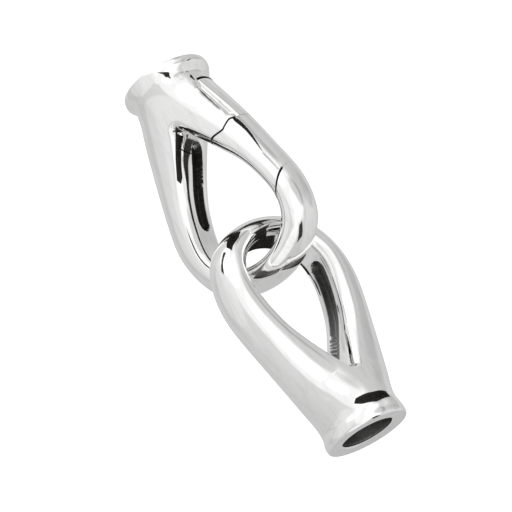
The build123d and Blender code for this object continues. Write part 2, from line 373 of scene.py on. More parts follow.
def inside(x, z, rim, groove_end=None):
    """The flat face and its edges at x and z. From 1 to 2, and from -1 to -2, z follows an edge
    to the skin; between -1 and 1 it crosses the flat face. How far a point lies inside the groove
    steers a soft step down to its floor."""
    size = sizes(x, rim)
    none = 0.0 * x
    t, v = at_share(x, none, size)
    corner = np.stack([t, v, height(none, size, none)], -1)
    across = np.clip(z, -1, 1) * (corner[..., 2] - size["edge"])
    flat = np.stack(np.broadcast_arrays(t, v, across), -1)
    on_flat = corner - size["edge"][..., None] * np.array([0, 0, 1])
    from_skin = skin_point(x, share_of(1.0, size), size)
    e = np.clip(np.abs(z) - 1, 0, 1)[..., None]
    edge = (1 - e) ** 2 * on_flat + 2 * e * (1 - e) * corner + e * e * from_skin
    edge[..., 2] *= np.where(z < 0, -1, 1)
    points = np.where(np.abs(z)[..., None] > 1, edge, flat)
    if groove_end:
        deep = GROOVE_DEEP * soft(0.5 + in_groove(points, groove_end) / GROOVE_WALL)
        outward_t, outward_v = size["t"] - t, size["v"] - v
        length = np.hypot(outward_t, outward_v)
        points[..., 0] += deep * outward_t / length
        points[..., 1] += deep * outward_v / length
    return points


print("grooves end at t", GROOVE_END)

# %% [markdown]
# ## From grids to one closed mesh
#
# A piece is a list of grids whose borders lie on each other. Vertices at the same place are made
# one, which gives one closed skin, and quads that shrink to a line are dropped. Every vertex
# carries a number called raw_and_shade: 0 where the metal is polished and 1 where it is left as
# cast and painted dark as shade, so one material can finish both. It also carries its own
# (t, v, w), shortened along t, which draws a pattern out along the leg.

# %% Sewing grids together
TRUMPET_STEP, LEG_STEP = 0.009, 0.0085
STREAK_STRETCH = np.array([0.09, 1.0, 1.0])
WELD, SHARP = 0.0002, 40.0   # millimetres and degrees


def steps(low, high, step):
    """Evenly spaced values from low to high, at most a step apart."""
    return np.linspace(low, high, math.ceil((high - low) / step) + 1)


def other_side(grids):
    """The same grids on the other side of the loop, each with its raw. The rows are reversed to
    keep them facing out."""
    return [(points[::-1] * (1, -1, 1), raw_and_shade[::-1] if np.ndim(raw_and_shade) else raw_and_shade)
            for points, raw_and_shade in grids]


def sew(name, half, grids, body, node, material):
    """One mesh from (points, raw) grids: vertices are merged where they agree to WELD, and
    each grid cell becomes one quad, or a triangle where two of its corners are one."""
    points, raw_and_shade, quads, start = [], [], [], 0
    for grid, rough in grids:
        rows, columns = grid.shape[:2]
        index = start + np.arange(rows * columns).reshape(rows, columns)
        quads.append(np.stack([index[:-1, :-1], index[:-1, 1:], index[1:, 1:], index[1:, :-1]],
                              -1).reshape(-1, 4))
        points.append(grid.reshape(-1, 3))
        raw_and_shade.append(np.broadcast_to(rough, (rows, columns)).reshape(-1))
        start += rows * columns
    points, raw_and_shade, quads = np.concatenate(points), np.concatenate(raw_and_shade), np.concatenate(quads)
    keys = np.round(points / WELD).astype(np.int64)
    _, first, same = np.unique(keys, axis=0, return_index=True, return_inverse=True)
    quads, points, raw_and_shade = same.reshape(-1)[quads], points[first], raw_and_shade[first]
    faces = [list(dict.fromkeys(q)) for q in quads.tolist() if len(set(q)) > 2]
    mesh = bpy.data.meshes.new(name)
    mesh.from_pydata(to_world(half, drawn_in(points) if half == "gate" else points), [], faces)
    mesh.attributes.new("raw_and_shade", "FLOAT", "POINT").data.foreach_set("value", raw_and_shade.astype(np.float32))
    mesh.attributes.new("leg", "FLOAT_VECTOR", "POINT").data.foreach_set(
        "vector", (points * STREAK_STRETCH).astype(np.float32).reshape(-1))
    piece = bpy.data.objects.new(name, mesh)
    bpy.context.scene.collection.objects.link(piece)
    closed = face_out(mesh)
    mesh.shade_smooth()
    mesh.set_sharp_from_angle(angle=math.radians(SHARP))
    mesh.materials.append(material)
    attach(piece, body)
    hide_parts(*node)
    print(name, len(mesh.vertices), "vertices,", len(mesh.polygons), "faces,",
          "closed" if closed else "OPEN")


def face_out(mesh):
    """Turns all faces outwards, and returns True if each edge has exactly two faces."""
    work = bmesh.new()
    work.from_mesh(mesh)
    bmesh.ops.recalc_face_normals(work, faces=work.faces)
    work.to_mesh(mesh)
    closed = all(edge.is_manifold for edge in work.edges)
    work.free()
    return closed


# %% [markdown]
# ## The finish
#
# Silver polished on a wheel is a mirror with a faint haze and soft waves, and wiping leaves faint
# streaks along the leg. The bores, grooves, slot, seams and wedge are left grainy and matt, as they
# came out of the mould, and their colour is painted near-black as the shade that falls in them.
# One material mixes both by the raw_and_shade number. Shader maths is written as Python
# expressions through a small class.

# %% Shader maths as expressions
class Value:
    """A socket that can be added, multiplied and so on, each time as a Math node."""

    def __init__(self, tree, socket):
        self.tree, self.socket = tree, socket

    def math(self, operation, *others):
        return make(self.tree, "ShaderNodeMath", dict(operation=operation), [self, *others])

    def __add__(self, other):
        return self.math("ADD", other)

    def __sub__(self, other):
        return self.math("SUBTRACT", other)

    def __rsub__(self, other):
        return make(self.tree, "ShaderNodeMath", dict(operation="SUBTRACT"), [other, self])

    def __mul__(self, other):
        return self.math("MULTIPLY", other)

    __radd__, __rmul__ = __add__, __mul__

    def clamped(self, low, high):
        return self.math("MAXIMUM", low).math("MINIMUM", high)


def make(tree, kind, settings=None, inputs=None, output=0):
    """Adds a node, sets its settings, then the values or links of its sockets, and returns one of
    its outputs. inputs is a list in the sockets' order or a dict by name or number."""
    node = tree.nodes.new(kind)
    for name, value in (settings or {}).items():
        setattr(node, name, value)
    pairs = inputs.items() if isinstance(inputs, dict) else enumerate(inputs or [])
    for key, value in pairs:
        if isinstance(value, Value):
            tree.links.new(value.socket, node.inputs[key])
        else:
            node.inputs[key].default_value = value
    return Value(tree, node.outputs[output])


# %% Polished silver, and raw silver painted dark as shade
# The raw colour is near-black. It is painted shade for hollows and seams, on top of the cast
# metal's grain and matt finish.
BRIGHT, WIPED, RAW_AND_SHADE = (0.965, 0.963, 0.96, 1), (0.89, 0.885, 0.88, 1), (0.055, 0.051, 0.048, 1)


def silver(name, haze=0.045):
    """Metal whose colour, roughness and bump go from polished to raw by the raw_and_shade
    attribute. The raw colour is near-black and is painted shade.
    """
    material = bpy.data.materials.new(name)
    material.use_nodes = True
    tree = material.node_tree
    shader = tree.nodes["Principled BSDF"]

    def noise(where, scale, detail, roughness):
        return make(tree, "ShaderNodeTexNoise", None,
                    dict(Vector=where, Scale=scale, Detail=detail, Roughness=roughness))

    def blend(share, first, second):
        return make(tree, "ShaderNodeMix", dict(data_type="RGBA"), {0: share, 6: first, 7: second},
                    output=2)

    place = make(tree, "ShaderNodeTexCoord", output="Object")
    raw_and_shade = make(tree, "ShaderNodeAttribute", dict(attribute_name="raw_and_shade"), output="Fac")
    leg = make(tree, "ShaderNodeAttribute", dict(attribute_name="leg"), output="Vector")
    clouds = noise(place, 330.0, 3.0, 0.55)     # where the polish is hazy, a few millimetres wide
    grain = noise(place, 5200.0, 4.0, 0.7)      # the mould's sand
    pits = noise(place, 1700.0, 2.0, 0.5)       # darker and lighter spots of the raw metal
    streaks = noise(leg, 1.5, 3.0, 0.6)
    wiped = ((streaks - 0.47) * 4).clamped(0, 1)
    hazy = ((clouds - 0.52) * 5).clamped(0, 1)
    rough = haze + hazy * 0.07 + wiped * 0.04 + raw_and_shade * (0.36 + 0.25 * grain)
    # Towards raw, the colour goes near-black: this is painted shade in hollows, seams and the
    # wedge.
    tone = blend(raw_and_shade * (0.88 + 0.24 * pits), blend(wiped, BRIGHT, WIPED), RAW_AND_SHADE)
    bump = make(tree, "ShaderNodeBump", None,
                dict(Strength=1.0, Distance=0.00004, Height=raw_and_shade * grain + clouds * 0.12))
    for value, socket in ((tone, "Base Color"), (rough, "Roughness"), (bump, "Normal")):
        tree.links.new(value.socket, shader.inputs[socket])
    shader.inputs["Metallic"].default_value = 1.0
    return material


polished = silver("silver_of_the_halves")
print("material", polished.name, "with", len(polished.node_tree.nodes), "nodes")

# %% [markdown]
# ## The end face and the bore
#
# The mouth is a flat ring round a blind bore for the cord. Its profile is carried round the axis:
# in from the lip, over a small bevel, down the bore and across its floor. It is made over one side
# at a time, with the same columns as the skin that it meets.

# %% End face and bore
BORE, BEVEL, BORE_DEEP = 3.0, 0.2, 6.0
DRAFT, FLOOR_ROUND = 0.02, 0.3       # how far the bore's wall leans out, and its floor's rounding
# The bore's raw finish is also painted dark as the shade deep in it.
FACE_RAW, BORE_RAW_AND_SHADE = 0.12, 0.74      # raw on the end face and in the bore
COLUMNS = 44                 # on each side of the outermost line
BEVEL_COLUMNS = SLOT_SHARE + np.array([6, 14, 22, 30, 34, 38, 42, 46, 50]) / 1000
columns = np.sort(np.concatenate([np.linspace(-1, 1, 2 * COLUMNS + 1), BEVEL_COLUMNS]))
columns = columns[np.append(True, np.diff(columns) > 0.002)][None, :]


def mouth(half):
    """The profile (radius, t) turned round the axis, from the lip's inner line to the floor's
    middle, over the half on the +v side."""
    rim = RIM[half] - LIP_ROUND
    profile = [(rim, 0.0), (rim - 0.05, 0.0), (BORE + BEVEL + 0.05, 0.0), (BORE + BEVEL, 0.01),
               (BORE + DRAFT, BEVEL)]
    face = len(profile)
    inner, low = BORE - FLOOR_ROUND, BORE_DEEP - FLOOR_ROUND
    wall = [(BORE + DRAFT * (1 - s), BEVEL + (low - BEVEL) * s) for s in np.linspace(0.05, 1, 20)]
    floor = [(inner + FLOOR_ROUND * math.cos(a), low + FLOOR_ROUND * math.sin(a))
             for a in np.linspace(0.3, math.pi / 2, 5)] + [(r, BORE_DEEP) for r in (1.8, 0.9, 0.0)]
    profile = np.array(profile + wall + floor)
    end = skin(np.array([[MOUTH_X]]), columns, RIM[half])
    turn = np.arctan2(end[..., 2], end[..., 1])
    radius, t = profile[:, :1], profile[:, 1:]
    points = np.stack(np.broadcast_arrays(t, radius * np.cos(turn), radius * np.sin(turn)), -1)
    raw_and_shade = np.full((len(profile), 1), BORE_RAW_AND_SHADE)
    raw_and_shade[:face - 1] = FACE_RAW
    raw_and_shade[face - 1] = 0
    return points, raw_and_shade


print("mouth grid", mouth("gate")[0].shape)

# %% [markdown]
# ## The plain half
#
# With the skin, the inside and the mouth at hand, one side of the plain half is four grids, and
# the other side is the same four mirrored. Its legs both have a groove in their flat faces, whose
# raw floor is painted dark as shade, less dark towards the crotch.

# %% Loop half
# The groove's painted shade is only a share as dark at t = 10 and fully dark 8 mm further on. It
# reaches a little past the groove's edge.
LESS_DARK_SHARE, LESS_DARK_AT, LESS_DARK_OVER = 0.7, 10, 8    # the raw at t = 10, all of it 8 mm further on
RAW_AND_SHADE_PAST = 0.1               # how far the raw reaches past the groove's edge
EDGE_COLUMNS = np.linspace(1, 2, 5)
groove_columns = np.concatenate([np.linspace(0, 0.5, 6)[:-1], np.linspace(0.5, 0.68, 8)[:-1],
                                 np.linspace(0.68, 1, 6)[:-1]])
inner_columns = np.concatenate([-EDGE_COLUMNS[::-1], -groove_columns[:0:-1], groove_columns,
                                EDGE_COLUMNS])[None, :]
trumpet_rows = steps(MOUTH_X, 0, TRUMPET_STEP)[:, None]
leg_rows = steps(0, 2, LEG_STEP)[:, None]


def whole_side(half, trumpet_x, groove_end):
    """Skin, inside and mouth of the +v side of a half with no cuts."""
    rim = RIM[half]
    hollow = inside(leg_rows, inner_columns, rim, groove_end)
    # The groove's floor is raw and painted dark as shade.
    raw_and_shade = GROOVE_RAW_AND_SHADE[half] * soft(0.5 + (in_groove(hollow, groove_end) + RAW_AND_SHADE_PAST) / 0.06)
    if half == "loop":
        raw_and_shade *= LESS_DARK_SHARE + (1 - LESS_DARK_SHARE) * soft((hollow[..., 0] - LESS_DARK_AT) / LESS_DARK_OVER)
    return [(skin(trumpet_x, columns, rim), 0.0), (skin(leg_rows, columns, rim), 0.0),
            (hollow, raw_and_shade), mouth(half)]


plus_side = whole_side("loop", trumpet_rows, GROOVE_END["loop"])
sew("loop_half", "loop", plus_side + other_side(plus_side), "links", ["loop_link"], polished)

# %% [markdown]
# ## Cutting the gate free
#
# Two cuts free the gate. A cut is a plane across the leg, and the upper one is bent near the
# button. Its place in x differs from column to column, so it is found by halving, for all columns
# at once. Grids then run from cut to cut, and a cap closes each end. A cap's first ring is drawn in
# a little, which breaks the sharp edge and gives the seam its fine bright line.

# %% Places of the cuts
SEAM, FINE_SEAM = 0.085, 0.012   # half of the seam's width, and that on the outermost band
BREAK, FINE_BREAK = 0.05, 0.004  # how far its edges are broken, and that on the outermost band
BAND, BAND_EDGE = 0.32, 0.05     # column share where the outermost band ends, and how softly
UPPER_CUT, UPPER_BEND, UPPER_BEND_V, UPPER_BEND_MOST = 10.2, 0.68, 4.56, 1.15
LOWER_CUT, LOWER_CUT_V, LOWER_SLOPE = 20.4, 5.02, -0.92


def upper_plane(p):
    """Across the leg, and bent back towards the button near it."""
    bent = np.clip(p[..., 1] - UPPER_BEND_V, 0, UPPER_BEND_MOST)
    return p[..., 0] - UPPER_CUT + UPPER_BEND * bent


def lower_plane(p):
    """Across the leg, on a slope."""
    past = p[..., 0] - LOWER_CUT - LOWER_SLOPE * (p[..., 1] - LOWER_CUT_V)
    return past / math.hypot(1, LOWER_SLOPE)


CUTS = {"upper": (upper_plane, 0.1, 0.8), "lower": (lower_plane, 0.8, 1.6)}    # between these x


def cut_at(surface, cut, offset):
    """x where the surface is offset millimetres past a cut, in each column, by halving."""
    plane, low, high = CUTS[cut]
    low, high = [end + 0 * surface(np.full((1, 1), end))[..., 0] for end in (low, high)]
    for _ in range(40):
        middle = (low + high) / 2
        before = plane(surface(middle)) < offset
        low, high = np.where(before, middle, low), np.where(before, high, middle)
    return low


def seam_rings(sides, skin_columns):
    """x of the last ring and of the broken edge at both cuts, on the side given for each, -1
    before the cut and 1 after it. On the outermost band the seam was polished shut."""
    found = {}
    for cut, side in sides.items():
        for part, k, made in (("skin", skin_columns, skin), ("inner", inner_columns, inside)):
            opened = soft((np.abs(k) - BAND) / BAND_EDGE) if part == "skin" else 1.0 + 0 * k
            ring = FINE_SEAM + (SEAM - FINE_SEAM) * opened
            broken = ring + (FINE_BREAK + (BREAK - FINE_BREAK) * opened)
            for place, offset in (("face", ring), ("edge", broken)):
                found[cut, place, part] = cut_at(lambda x: made(x, k, gate_rim), cut, side * offset)
    return found


gate_rim = RIM["gate"]
rings = seam_rings({"upper": -1, "lower": 1}, columns)
for key, x in rings.items():
    print(*key, "x from", x.min().round(3), "to", x.max().round(3))


# %% Caps and rows
def ring_of(skin_ring, inner_ring):
    """A closed ring round a leg: the skin's columns and then the inside's, from + to -."""
    return np.concatenate([skin_ring, inner_ring[:, ::-1], skin_ring[:, :1]], 1)


def cap(skin_edge, inner_edge, skin_face, inner_face_x):
    """Closes a cut: from the ring round its broken edge to the one round its face, which is drawn
    in a little more, and on to the middle."""
    face_ring = ring_of(skin_face, inside(inner_face_x, inner_columns, gate_rim))
    centre = face_ring.mean(1, keepdims=True)
    shares = np.array([1 - BREAK / 2.4, 0.6, 0.3, 0.0])[:, None, None]
    return np.concatenate([ring_of(skin_edge, inner_edge), centre + (face_ring - centre) * shares])


def between(start, end, count):
    """Rows from one x to another, where each end may differ from column to column."""
    share = np.linspace(0, 1, count)[:, None]
    return start + (end - start) * share


print("a seam is", 2 * SEAM, "mm wide, and", 2 * FINE_SEAM, "on the outermost band")

# %% [markdown]
# ## The half with the gate
#
# Its +v side is in two parts, before the gate and after it. The button's slot is pressed into the
# first: its border columns and its first row are there twice, at the skin's level and at the
# floor's, and the cells between them are its walls.

# %% The button's slot
DEEP_FRONT, DEEP_BACK = 1.25, 1.65   # the slot's depth at its two ends
SLOT_BULGE = 0.3             # how far its end bows towards the lip
SLOT_BEVEL, BEVEL_DEEP, LINE_DEEP = 0.48, 0.2, 0.09
BEVEL_FROM, BEVEL_TO = 3.7, 8.4      # the part of t that is bevelled, and it fades at both ends
BEVEL_DOWN = 0.8, 0.6        # the way down in v and w that the file goes

slot_x = NECK_X + (SLOT_START - NECK) / pace
slot_front = slot_x - SLOT_BULGE / pace * (1 - np.clip(np.abs(columns) / SLOT_SHARE, 0, 1) ** 2)
over_slot = np.abs(columns) <= SLOT_SHARE + 1e-9
i_low, i_high = np.flatnonzero(over_slot[0])[[0, -1]]
doubled = np.sort(np.concatenate([np.arange(columns.size), [i_low, i_high]]))
floor_column = np.zeros(doubled.size, bool)
floor_column[i_low + 1:i_high + 2] = True


def beside_slot(points):
    """How far a point of the skin lies beside the slot, 0 at its edge and 1 at the end of the
    bevel, and how much there is of the fine line that is cut there."""
    t, v, w = points[..., 0], points[..., 1], points[..., 2]
    here = soft((t - BEVEL_FROM) / 0.7) * (1 - soft((t - BEVEL_TO) / 0.8))
    place = np.where(v > 2, (w - slot_half(t)) / SLOT_BEVEL, 9.0)
    return place, here, soft(1.6 - np.abs(place - 1.0) / 0.10) * here


def slotted(x_rows, flags):
    """Skin rows with the slot, and their raw_and_shade. A bevel falls straight to the slot's upper
    edge, with the fine line at its other end. Where a row's flag is set, the slot's columns lie on
    the floor, and the floor and the fine line are raw: the floor is painted dark as shade, and the
    line as a dark reflection."""
    x = np.broadcast_to(x_rows, (len(x_rows), columns.size))[:, doubled]
    points = skin(x, columns[:, doubled], gate_rim)
    place, here, line = beside_slot(points)
    deep = BEVEL_DEEP * np.clip(1 - place, 0, 1) + LINE_DEEP * line
    deep = np.where(place > -0.01, deep * here, 0)
    points[..., 1] -= BEVEL_DOWN[0] * deep
    points[..., 2] -= BEVEL_DOWN[1] * deep
    share = np.clip((points[..., 0] - SLOT_START) / (UPPER_CUT - SLOT_START), 0, 1)
    on_floor = flags[:, None] & floor_column[None, :]
    points[..., 1] -= np.where(on_floor, DEEP_FRONT + (DEEP_BACK - DEEP_FRONT) * share, 0)
    # The slot's floor is painted dark as the shade in it, and the fine line as a dark reflection
    # along its edge.
    return points, np.where(on_floor, 1.0, line)


print("slot columns", i_low, "to", i_high, "of", columns.size)

# %% Part before the gate
FRONT_ROWS, NECK_ROWS, LEG_ROWS = 90, 40, 46
# The band of the flat face inside the leg is raw and painted dark as shade.
RAW_AND_SHADE_HALF, RAW_AND_SHADE_FROM = 1.25, 7.8       # half width and start of the raw face inside the leg


def raw_and_shade_inside(points):
    """1 on the flat face inside the leg, which no wheel reaches, and which is painted dark as the
    shade inside the loop.
    """
    t, w = points[..., 0], points[..., 2]
    return soft((RAW_AND_SHADE_HALF - np.abs(w)) / 0.12) * soft((t - RAW_AND_SHADE_FROM) / 0.3)


start, crotch = np.full_like(slot_front, MOUTH_X), np.zeros_like(slot_front)
front = between(start, slot_front, FRONT_ROWS)
neck = between(slot_front, crotch, NECK_ROWS)
leg = between(crotch, rings["upper", "edge", "skin"], LEG_ROWS)
skin_rows = np.concatenate([front, neck, leg[1:]])
skin_before, slot_raw_and_shade = slotted(skin_rows, np.arange(len(skin_rows)) >= FRONT_ROWS)
inner_leg = between(np.zeros(inner_columns.shape), rings["upper", "edge", "inner"], LEG_ROWS)
inner_before = inside(inner_leg, inner_columns, gate_rim)
end_face = slotted(rings["upper", "face", "skin"], np.ones(1, bool))[0]
end_cap = cap(skin_before[-1:], inner_before[-1:], end_face, rings["upper", "face", "inner"])
# The cap over the cut is raw, painted dark as the shade in the seam.
before_grids = [(skin_before, slot_raw_and_shade), (inner_before, raw_and_shade_inside(inner_before)), (end_cap, 1.0),
                mouth("gate")]
print("before the gate:", skin_before.shape)

# %% Part after the gate, and the -v side
AFTER_ROWS = 110
skin_after = skin(between(rings["lower", "edge", "skin"], np.full(columns.shape, 2.0), AFTER_ROWS),
                  columns, gate_rim)
inner_after = inside(between(rings["lower", "edge", "inner"], np.full(inner_columns.shape, 2.0),
                             AFTER_ROWS), inner_columns, gate_rim)
end_face = skin(rings["lower", "face", "skin"], columns, gate_rim)
end_cap = cap(skin_after[:1], inner_after[:1], end_face, rings["lower", "face", "inner"])
# The cap over the cut is raw, painted dark as the shade in the seam.
after_grids = [(skin_after, 0.0), (inner_after, 0.0), (end_cap[::-1], 1.0)]
plain_side = whole_side("gate", np.concatenate([front[:, :1], neck[:, :1]]), GROOVE_END["gate"])
sew("gate_half", "gate", before_grids + after_grids + other_side(plain_side), "links",
    ["gate_link"], polished)

# %% [markdown]
# ## The gate's hinge
#
# The gate turns on a pin near the loop's end. A knuckle on the gate, a short bar that ends in a
# half circle round the pin, holds it. It lies inside the metal of the loop, where it is not seen.

# %% Knuckle
PIN_T, PIN_V = 21.2, 5.75
KNUCKLE, KNUCKLE_HALF, KNUCKLE_ROUND = 0.75, 0.9, 0.06
WEB = 2.6                    # how far the bar runs back from the pin, into the gate


def bar(outline_tv, half_width, round_off):
    """A closed bar across the thickness over an outline of (t, v) points. Its ends are drawn in
    by a small rounding, and close on the outline's middle."""
    outline_tv = np.concatenate([outline_tv, outline_tv[:1]])
    middle = outline_tv[:-1].mean(0)
    a = np.linspace(math.pi / 2, 0, 4)
    inset, w = round_off * (1 - np.sin(a)), half_width - round_off * (1 - np.cos(a))
    size = np.abs(outline_tv - middle).max()
    share = np.concatenate([[0, 0.5], 1 - inset[::-1] / size, 1 - inset / size, [0.5, 0]])
    level = np.concatenate([[half_width] * 2, w[::-1], -w, [-half_width] * 2])
    tv = middle + (outline_tv - middle) * share[:, None, None]
    return np.concatenate([tv, np.broadcast_to(level[:, None, None], tv.shape[:2] + (1,))], 2)


def round_nose(radius, back_t):
    """The outline of a web that ends in a half circle round the pin."""
    a = np.linspace(-math.pi / 2, math.pi / 2, 25)
    nose = np.stack([PIN_T + radius * np.cos(a), PIN_V + radius * np.sin(a)], 1)
    return np.concatenate([[(back_t, PIN_V - radius)], nose, [(back_t, PIN_V + radius)]])


knuckle = bar(round_nose(KNUCKLE, PIN_T - WEB), KNUCKLE_HALF, KNUCKLE_ROUND)
print("knuckle grid", knuckle.shape)

# %% [markdown]
# ## The gate
#
# The gate is the piece of the leg between the two cuts. A long narrow wedge opens along it next to
# the button's end, painted dark inside as shade. It is pressed into the skin along a line whose
# height over the loop's plane hardly changes, and the columns crowd together there.

# %% Gate
WEDGE_START, WEDGE_END, CREASE_END = 9.3, 14.7, 17.9
# t, and its middle line's height w
WEDGE_HIGH = [(9.3, 1.94), (11.5, 1.80), (14.6, 2.08), (17.9, 2.09)]
WEDGE_WIDE, WEDGE_DEEP = 0.42, 0.45
WEDGE_DOWN = 0.72, 0.60      # the way down in v and w that it is pressed in
CREASE, CREASE_FROM = 0.16, 12.5     # the crease's depth as a share of the wedge's, and its start
WEDGE_K, CROWD = 0.355, 0.06 # the wedge's column share, and how far about it columns crowd
GATE_ROWS = 150
wedge_high = spline(*zip(*WEDGE_HIGH))


def wedge(points):
    """How far inside the wedge a point is, from 0 to 1, and so how deep it is pressed in and how
    dark it is painted as shade. Its middle line is a height over the loop's plane. Past its end it
    runs on as a faint crease."""
    t = points[..., 0]
    along = np.clip((t - WEDGE_START) / (WEDGE_END - WEDGE_START), 0, 1)
    half_wide = WEDGE_WIDE / 2 * (1 - along) ** 0.9 * (0.45 + 0.55 * soft(along / 0.16))
    from_line = np.abs(points[..., 2] - wedge_high(np.clip(t, WEDGE_START, CREASE_END)))
    open_wedge = soft((half_wide - from_line) / 0.04 + 0.5) * (along < 1)
    crease = CREASE * soft(1.5 - from_line / 0.045) * soft((t - CREASE_FROM) / 2) * (
        1 - soft((t - CREASE_END + 0.5) / 0.5))
    return np.maximum(open_wedge, crease) * (points[..., 1] > 3.9 + 0.22 * (t - WEDGE_START))


def gate_skin(x, k):
    """The skin of the gate with its wedge."""
    points = skin(x, k, gate_rim)
    press = WEDGE_DEEP * wedge(points)
    points[..., 1] -= press * WEDGE_DOWN[0]
    points[..., 2] -= press * WEDGE_DOWN[1]
    return points


crowd = np.linspace(WEDGE_K - CROWD, WEDGE_K + CROWD, 48)
even = np.linspace(-1, 1, 2 * COLUMNS + 1)
gate_columns = np.sort(np.concatenate([even[(even < crowd[0] - 0.01) | (even > crowd[-1] + 0.01)],
                                       crowd]))[None, :]
gate_rings = seam_rings({"upper": 1, "lower": -1}, gate_columns)
gate_x, gate_inner_x = [
    between(gate_rings["upper", "edge", part], gate_rings["lower", "edge", part], GATE_ROWS)
    for part in ("skin", "inner")]
gate_outside = gate_skin(gate_x, gate_columns)
gate_inside = inside(gate_inner_x, inner_columns, gate_rim)
gate_caps = []
# The gate's caps are raw, painted dark as the shade in the seams.
for cut, row in (("upper", 0), ("lower", -1)):
    end_face = gate_skin(gate_rings[cut, "face", "skin"], gate_columns)
    gate_caps.append((cap(gate_outside[[row]], gate_inside[[row]], end_face,
                          gate_rings[cut, "face", "inner"]), 1.0))
# The wedge and its faint crease are painted dark as shade through the raw colour.
wedge_painted_shade = wedge(skin(gate_x, gate_columns, gate_rim))
sew("gate_bar", "gate", [(gate_outside, wedge_painted_shade), (gate_inside, raw_and_shade_inside(gate_inside)),
                         *gate_caps, (knuckle, 0.2)], "gate", ["gate"], polished)

# %% [markdown]
# ## The push button
#
# The button is a slab that lies in the slot and carries on the trumpet's own curve. Its long
# sides are softly rounded, so that a finger slides on to it. Its front is bowed like the slot.

# %% Button
BUTTON_GAP, BUTTON_ROUND, BUTTON_START = 0.13, 0.5, 3.3
TIP_THICK, ROOT_THICK, MORE_THICK = 0.42, 1.4, 0.1
FRONT_ROUND, FRONT_ROUND_ROWS, BUTTON_ROWS = 0.22, 5, 100


def button_top(x, side):
    """The skin at a share of the button's half width from its middle, dropped along the rounded
    sides as a quarter circle."""
    size = sizes(x, gate_rim)
    half = slot_half(size["t"]) - BUTTON_GAP
    w = half * side
    points = skin_point(x, share_at_height(np.abs(w), size), size)
    points[..., 2] = w
    beyond = np.clip((np.abs(w) - half + BUTTON_ROUND) / BUTTON_ROUND, 0, 1)
    points[..., 1] -= BUTTON_ROUND * (1 - np.sqrt(1 - beyond**2))
    return points


button_side = np.sin(np.linspace(-math.pi / 2, math.pi / 2, 61))[None, :]
start_x = NECK_X + (BUTTON_START - NECK) / pace - SLOT_BULGE / pace * (1 - button_side**2)
end_x = cut_at(lambda x: button_top(x, button_side), "upper", -2 * FINE_SEAM)
button_x = between(start_x, end_x, BUTTON_ROWS)
top = button_top(button_x, button_side)
to_front = np.clip(1 - np.arange(BUTTON_ROWS) / FRONT_ROUND_ROWS, 0, 1)[:, None]
top[..., 1] -= FRONT_ROUND * (1 - np.sqrt(1 - to_front**2))
along = np.clip((top[..., 0] - BUTTON_START) / (UPPER_CUT - BUTTON_START), 0, 1)
bottom = button_top(button_x, button_side * 0)
bottom[..., 0], bottom[..., 2] = top[..., 0], top[..., 2]
bottom[..., 1] -= TIP_THICK + (ROOT_THICK - TIP_THICK) * along + MORE_THICK
down = np.linspace(0, 1, 6)[:, None]
sides = [(top[:, [c]] * (1 - down) + bottom[:, [c]] * down, 0.0) for c in (0, -1)]
down = down[:, None]
ends = [(top[[r]] * (1 - down) + bottom[[r]] * down, 0.2) for r in (0, -1)]
# The button's underside in the slot is raw, painted dark as the shade under it.
sew("push_button_cap", "gate", [(top, 0.0), (bottom, 1.0), *sides, *ends], "button",
    ["push_button"], polished)

# %% [markdown]
# ## The pins
#
# Each pin is a plain rod across the leg, cut a little shorter than its hole and hidden in the
# metal: the gate turns on one, and the button rocks on the other.

# %% Pins
PIN_ROUND, PIN_HALF, PIN_EDGE = 0.4, 1.75, 0.08
PINS = {"gate_pin": (PIN_T, PIN_V), "button_pin": (9.2, 5.1)}    # t and v
pin_silver = silver("silver_of_the_pins", haze=0.12)
a = np.linspace(0, 2 * math.pi, 33)[:-1]
for name, (pin_t, pin_v) in PINS.items():
    rod = np.stack([pin_t + PIN_ROUND * np.cos(a), pin_v + PIN_ROUND * np.sin(a)], 1)
    sew(f"{name}_rod", "gate", [(bar(rod, PIN_HALF, PIN_EDGE), 0.2)], "links", [name], pin_silver)

# %% [markdown]
# ## The studio
#
# Mirror metal has no look of its own: it shows the room. The clasp lies on a white sweep in a
# bright room, so most of it reflects white. A few black flags, which the camera itself does not
# see, put in the dark lines that draw its shape.

# %% Floor
def flat_card(name, corners, material):
    """A flat or nearly flat sheet over its corners."""
    mesh = bpy.data.meshes.new(name)
    mesh.from_pydata([tuple(c) for c in corners], [], [tuple(range(len(corners)))])
    mesh.materials.append(material)
    card = bpy.data.objects.new(name, mesh)
    bpy.context.scene.collection.objects.link(card)
    return card


def matt(name, colour, glow=0.0):
    """A dull surface, with a glow for a softbox."""
    material = bpy.data.materials.new(name)
    material.use_nodes = True
    shader = material.node_tree.nodes["Principled BSDF"]
    for socket, value in (("Base Color", (*colour, 1)), ("Roughness", 0.9),
                          ("Specular IOR Level", 0.1), ("Emission Color", (1, 1, 1, 1)),
                          ("Emission Strength", glow)):
        shader.inputs[socket].default_value = value
    return material


floor = flat_card("floor", [(-3, -3, 0), (3, -3, 0), (3, 3, 0), (-3, 3, 0)],
                  matt("white_sweep", (0.93, 0.93, 0.93), glow=0.62))
floor.visible_glossy = False
print("floor of", len(floor.data.vertices), "corners")

# %% [markdown]
# ## Black flags
#
# A photographer of jewellery holds black flags near the metal, just out of the picture, to draw
# dark lines into the mirror. Here most are small sheets a millimetre or two off the metal. They
# are not part of the clasp, and are seen only in reflections. Each is given by its corners in
# millimetres.

